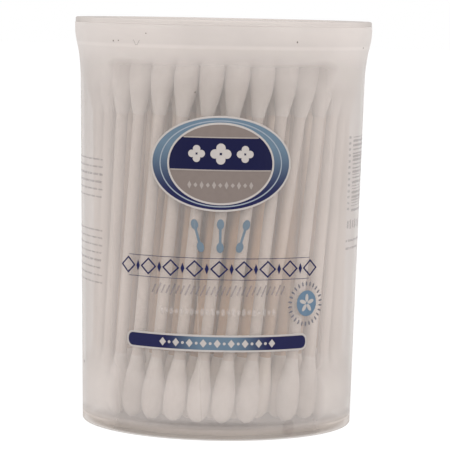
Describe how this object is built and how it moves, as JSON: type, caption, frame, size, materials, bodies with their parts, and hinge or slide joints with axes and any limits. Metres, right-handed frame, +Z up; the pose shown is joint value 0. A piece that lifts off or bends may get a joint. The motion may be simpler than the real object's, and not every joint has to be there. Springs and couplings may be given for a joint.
{
  "type": "cotton swab tub",
  "caption": "Round frosted plastic tub with a flared mouth and a sunken plug lid, packed with upright double-ended cotton swabs that lean in a spiral.",
  "frame": {"origin": "middle of the foot, on the surface that the tub stands on", "axes": "+Z up along the axis of the tub; -Y is the printed front; +X to the right of the front"},
  "size_m": [0.0626, 0.0626, 0.085],
  "materials": {
    "frosted_plastic": "satin frosted translucent polypropylene",
    "cotton": "matte wound cotton fibre",
    "rolled_paper": "matte rolled paper"
  },
  "bodies": {
    "tub": {"tub": "frosted_plastic", "stems_row_1": "rolled_paper", "lower_tips_row_1": "cotton", "upper_tips_row_1": "cotton", "stems_row_2": "rolled_paper", "lower_tips_row_2": "cotton", "upper_tips_row_2": "cotton", "stems_row_3": "rolled_paper", "lower_tips_row_3": "cotton", "upper_tips_row_3": "cotton", "stems_row_4": "rolled_paper", "lower_tips_row_4": "cotton", "upper_tips_row_4": "cotton", "stems_row_5": "rolled_paper", "lower_tips_row_5": "cotton", "upper_tips_row_5": "cotton", "stems_row_6": "rolled_paper", "lower_tips_row_6": "cotton", "upper_tips_row_6": "cotton"},
    "lid": {"lid": "frosted_plastic"}
  },
  "joints": [
    {"name": "lid_lift", "type": "slide", "parent": "tub", "child": "lid", "axis": [0, 0, 1], "range_m": [0, 0.06]}
  ]
}
